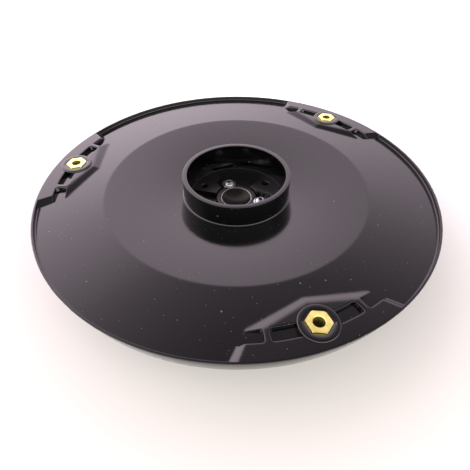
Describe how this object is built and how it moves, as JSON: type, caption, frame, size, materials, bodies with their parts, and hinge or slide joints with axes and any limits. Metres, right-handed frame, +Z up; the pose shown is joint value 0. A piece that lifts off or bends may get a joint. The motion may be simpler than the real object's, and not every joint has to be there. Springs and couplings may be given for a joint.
{
  "type": "surface cleaner head",
  "caption": "Dished round deck with a socket collar, brass thread inserts in its rim and a free-spinning spray rotor on a sealed swivel below the hub.",
  "frame": {"origin": "centre of the belly plate's lower face, on the surface the head stands on", "axes": "+Z up along the rotor's axis, -Y towards the front rim insert"},
  "size_m": [0.3, 0.3, 0.0489],
  "materials": {
    "deck_plastic": "injection-moulded, glossy, finely scratched",
    "brass": "bright turned",
    "screw_steel": "zinc-plated",
    "aluminium": "satin turned",
    "rubber": "moulded",
    "plug_metal": "satin pressed",
    "bearing_steel": "ground",
    "spring_steel": "phosphated",
    "cage_brass": "pressed",
    "stainless": "drawn and turned",
    "plate_plastic": "wear-resistant, scuffed"
  },
  "bodies": {
    "deck_body": {"deck": "deck_plastic", "thread_inserts": "brass", "hub_screws": "screw_steel", "screw_washers": "screw_steel", "swivel_housing": "aluminium", "housing_gasket": "rubber", "inlet_plug": "plug_metal", "plug_o_ring": "rubber", "spindle_seal": "rubber", "bearing_outer_race": "bearing_steel", "housing_snap_ring": "spring_steel"},
    "rotor": {"spindle": "stainless", "spindle_collar": "stainless", "bearing_inner_race": "bearing_steel", "manifold": "aluminium", "manifold_o_ring": "rubber", "spray_arm_a": "stainless", "spray_arm_b": "stainless", "gland_nuts": "brass", "nozzle_holders": "aluminium", "lock_nuts": "brass", "spray_nozzles": "stainless", "belly_plate": "plate_plastic", "belly_screws": "screw_steel"},
    "ball_set": {"bearing_balls": "bearing_steel", "bearing_cage": "cage_brass"}
  },
  "joints": [
    {"name": "rotor_spin", "type": "hinge", "parent": "deck_body", "child": "rotor", "pos_m": [0, 0, 0.0129], "axis": [0, 0, 1], "continuous": true},
    {"name": "cage_spin", "type": "hinge", "parent": "deck_body", "child": "ball_set", "pos_m": [0, 0, 0.0129], "axis": [0, 0, 1], "continuous": true}
  ],
  "couplings": [
    {"joint": "cage_spin", "follows": "rotor_spin", "ratio": 0.4149}
  ]
}
